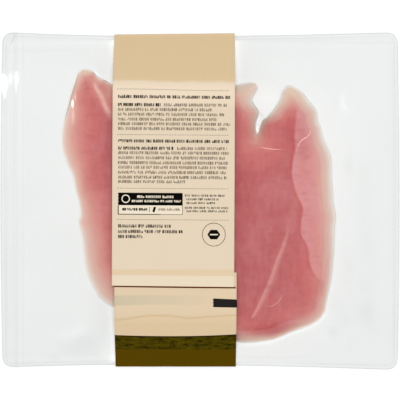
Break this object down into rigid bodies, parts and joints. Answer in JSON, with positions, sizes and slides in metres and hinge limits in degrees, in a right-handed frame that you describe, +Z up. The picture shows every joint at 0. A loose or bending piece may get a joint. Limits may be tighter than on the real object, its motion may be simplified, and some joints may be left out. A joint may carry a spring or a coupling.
{
  "type": "vacuum-packed raw turkey breast fillet",
  "caption": "Flat raw turkey breast fillet sealed in a clear vacuum pack, with a printed card band wrapped round the pack.",
  "frame": {"origin": "on the surface the pack lies on, under the middle of the pack", "axes": "+Z up out of the side that shows, +X along the pack's long sides, the band runs along Y"},
  "size_m": [0.23, 0.1944, 0.0191],
  "materials": {
    "film_pack": "clear film over raw meat, glossy",
    "card_band": "coated card, satin",
    "clear_film": "clear thin plastic film, glossy",
    "turkey_meat": "raw turkey breast, moist",
    "printed_ink": "printed ink, matte"
  },
  "bodies": {
    "root": {"film_pack": "film_pack", "card_band": "card_band"}
  },
  "joints": []
}
